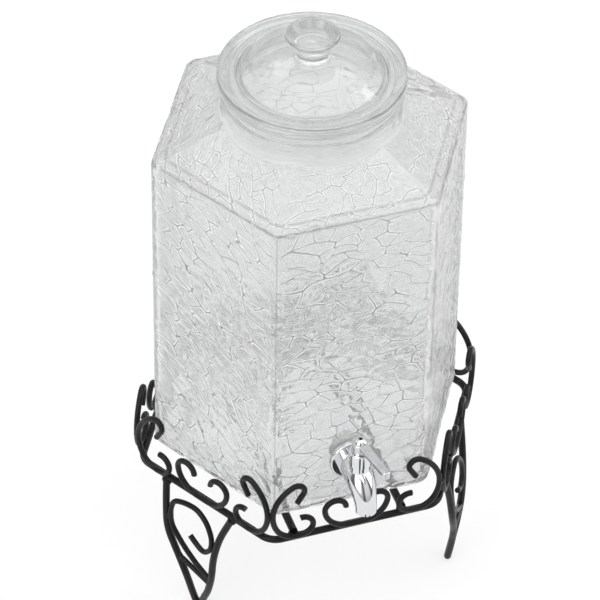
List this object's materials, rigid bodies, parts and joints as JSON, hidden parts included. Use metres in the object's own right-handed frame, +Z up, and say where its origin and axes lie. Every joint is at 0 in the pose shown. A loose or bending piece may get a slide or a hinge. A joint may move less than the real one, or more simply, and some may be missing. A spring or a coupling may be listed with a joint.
{
  "type": "glass beverage dispenser",
  "caption": "Six-sided crackled glass drink jar with a domed lid and a chrome lever tap, standing on a black wrought-wire scroll stand.",
  "frame": {"origin": "bottom centre of the whole object's bounding box, on the surface it stands on", "axes": "+Z up along the jar, -Y towards the tap, +X to the right of someone who faces the tap"},
  "size_m": [0.2924, 0.3098, 0.5283],
  "materials": {
    "jar_glass": "clear glass with a moulded crackle relief",
    "lid_glass": "smooth clear glass",
    "clear_silicone": "clear soft silicone",
    "tap_chrome": "bright polished chrome",
    "handle_chrome": "satin chrome",
    "valve_brass": "turned brass",
    "black_rubber": "matt rubber",
    "washer_rubber": "pale silicone",
    "nut_steel": "bright zinc plate",
    "black_iron": "satin black powder coat over welded wire"
  },
  "bodies": {
    "stand": {"stand_ring": "black_iron", "cross_bar_left": "black_iron", "cross_bar_right": "black_iron", "corner_scroll_right_rear_a": "black_iron", "corner_scroll_right_rear_b": "black_iron", "middle_scroll_right_rear": "black_iron", "corner_scroll_rear_a": "black_iron", "corner_scroll_rear_b": "black_iron", "middle_scroll_rear": "black_iron", "corner_scroll_left_rear_a": "black_iron", "corner_scroll_left_rear_b": "black_iron", "middle_scroll_left_rear": "black_iron", "corner_scroll_left_front_a": "black_iron", "corner_scroll_left_front_b": "black_iron", "middle_scroll_left_front": "black_iron", "corner_scroll_front_a": "black_iron", "corner_scroll_front_b": "black_iron", "middle_scroll_front": "black_iron", "corner_scroll_right_front_a": "black_iron", "corner_scroll_right_front_b": "black_iron", "middle_scroll_right_front": "black_iron", "leg_rear": "black_iron", "leg_scroll_rear": "black_iron", "leg_brace_rear": "black_iron", "leg_left": "black_iron", "leg_scroll_left": "black_iron", "leg_brace_left": "black_iron", "leg_right": "black_iron", "leg_scroll_right": "black_iron", "leg_brace_right": "black_iron"},
    "jar": {"glass_jar": "jar_glass", "tap_body": "tap_chrome", "tap_bonnet": "tap_chrome", "outer_washer": "washer_rubber", "inner_washer": "washer_rubber", "lock_nut": "nut_steel"},
    "lid": {"glass_lid": "lid_glass", "lid_seal": "clear_silicone"},
    "tap_lever": {"tap_handle": "handle_chrome", "valve_plug": "valve_brass", "valve_seal_ring": "black_rubber", "handle_screw": "tap_chrome"}
  },
  "joints": [
    {"name": "jar_lift", "type": "slide", "parent": "stand", "child": "jar", "axis": [0, 0, 1], "range_m": [0, 0.08]},
    {"name": "lid_lift", "type": "slide", "parent": "jar", "child": "lid", "axis": [0, 0, 1], "range_m": [0, 0.12]},
    {"name": "tap_turn", "type": "hinge", "parent": "jar", "child": "tap_lever", "pos_m": [-0.002, -0.11421, 0.1895], "axis": [0, 0, 1], "range_deg": [0, 90]}
  ]
}
